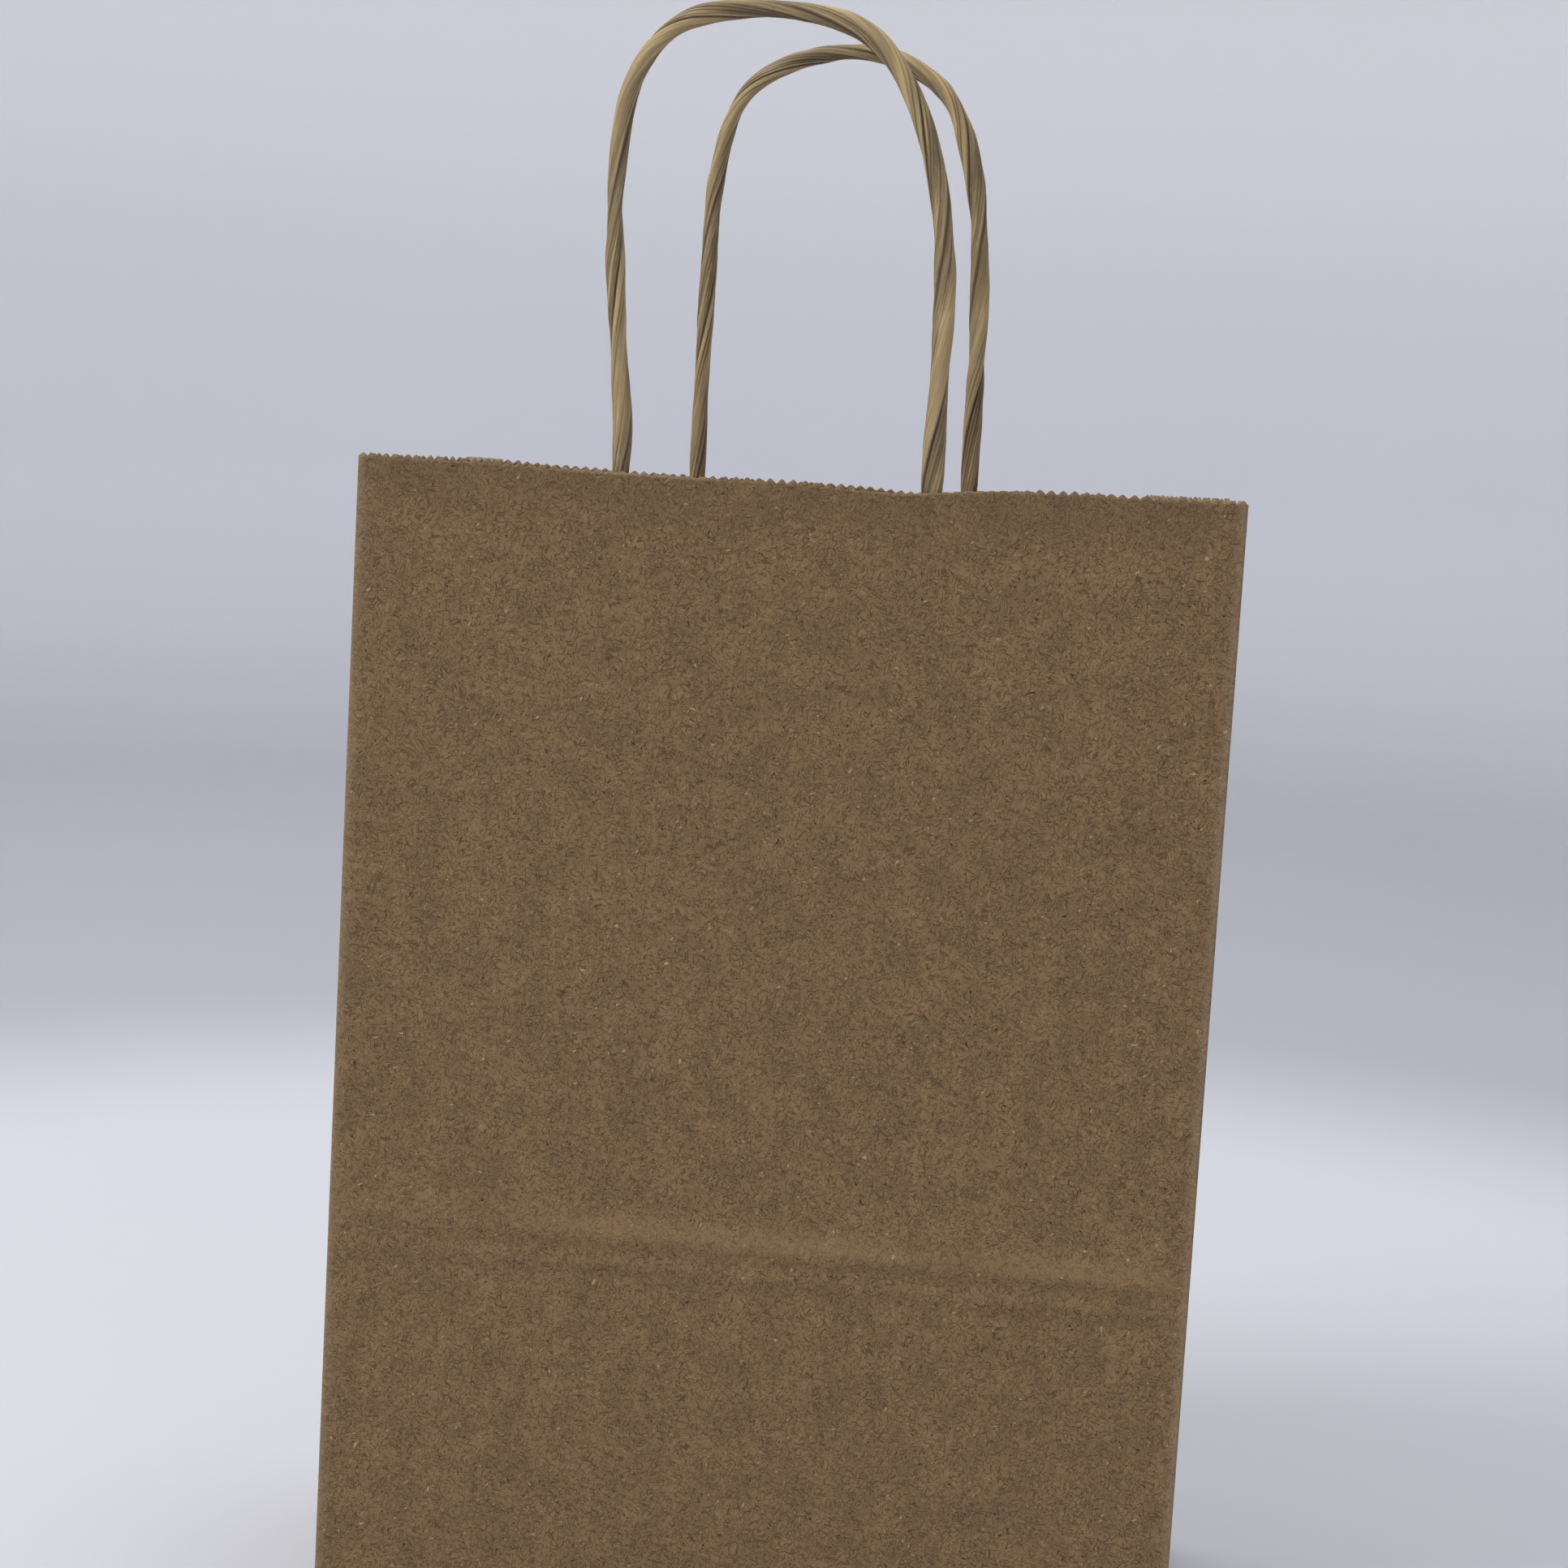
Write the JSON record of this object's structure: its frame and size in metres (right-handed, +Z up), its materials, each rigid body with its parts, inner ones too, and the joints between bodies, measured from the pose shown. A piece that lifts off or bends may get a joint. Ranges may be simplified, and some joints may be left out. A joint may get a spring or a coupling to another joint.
{
  "type": "paper gift bag",
  "caption": "Upright kraft paper gift bag with a pinked mouth, folding side gussets, a flat block base and a twisted paper cord handle on each broad side.",
  "frame": {"origin": "centre of the base, on the surface the bag stands on", "axes": "+Z up, +X along the width of the broad panels to the right as seen from the front, -Y out of the front panel"},
  "size_m": [0.15, 0.08, 0.2918],
  "materials": {
    "kraft": "matte brown kraft paper",
    "kraft_inside": "matte brown kraft paper, inner layers",
    "patch": "matte brown kraft paper, glued patches",
    "cord": "matte twisted kraft paper cord"
  },
  "bodies": {
    "base": {"base_flap_front": "kraft", "base_flap_back": "kraft", "base_end_left": "kraft_inside", "base_end_right": "kraft_inside", "gusset_left_front": "kraft", "gusset_left_back": "kraft", "gusset_left_foot": "kraft", "gusset_right_front": "kraft", "gusset_right_back": "kraft", "gusset_right_foot": "kraft"},
    "front_wall": {"front_panel": "kraft", "front_patch": "patch", "front_cover": "patch", "front_end_left": "cord", "front_end_right": "cord", "front_neck_left": "cord", "front_neck_right": "cord"},
    "back_wall": {"back_panel": "kraft", "back_foot": "kraft", "seam_flap": "kraft_inside", "back_patch": "patch", "back_cover": "patch", "back_end_left": "cord", "back_end_right": "cord", "back_neck_left": "cord", "back_neck_right": "cord"},
    "front_handle": {"front_loop": "cord"},
    "back_handle": {"back_loop": "cord"}
  },
  "joints": [
    {"name": "mouth_front", "type": "hinge", "parent": "base", "child": "front_wall", "pos_m": [0, -0.04, 0], "axis": [-1, 0, 0], "range_deg": [-1, 4], "stiffness_Nm_per_rad": 0.3, "deforming": ["gusset_left_front", "gusset_right_front"]},
    {"name": "mouth_back", "type": "hinge", "parent": "base", "child": "back_wall", "pos_m": [0, 0.04, 0], "axis": [1, 0, 0], "range_deg": [-1, 4], "stiffness_Nm_per_rad": 0.3, "deforming": ["gusset_left_back", "gusset_right_back"]},
    {"name": "front_handle_swing", "type": "hinge", "parent": "front_wall", "child": "front_handle", "pos_m": [0, -0.03404, 0.21793], "axis": [1, 0, 0], "range_deg": [-6, 150], "stiffness_Nm_per_rad": 0.01, "deforming": ["front_neck_left", "front_neck_right"]},
    {"name": "back_handle_swing", "type": "hinge", "parent": "back_wall", "child": "back_handle", "pos_m": [0, 0.03404, 0.21793], "axis": [-1, 0, 0], "range_deg": [-6, 150], "stiffness_Nm_per_rad": 0.01, "deforming": ["back_neck_left", "back_neck_right"]}
  ],
  "couplings": [
    {"joint": "mouth_back", "follows": "mouth_front", "ratio": 1}
  ]
}
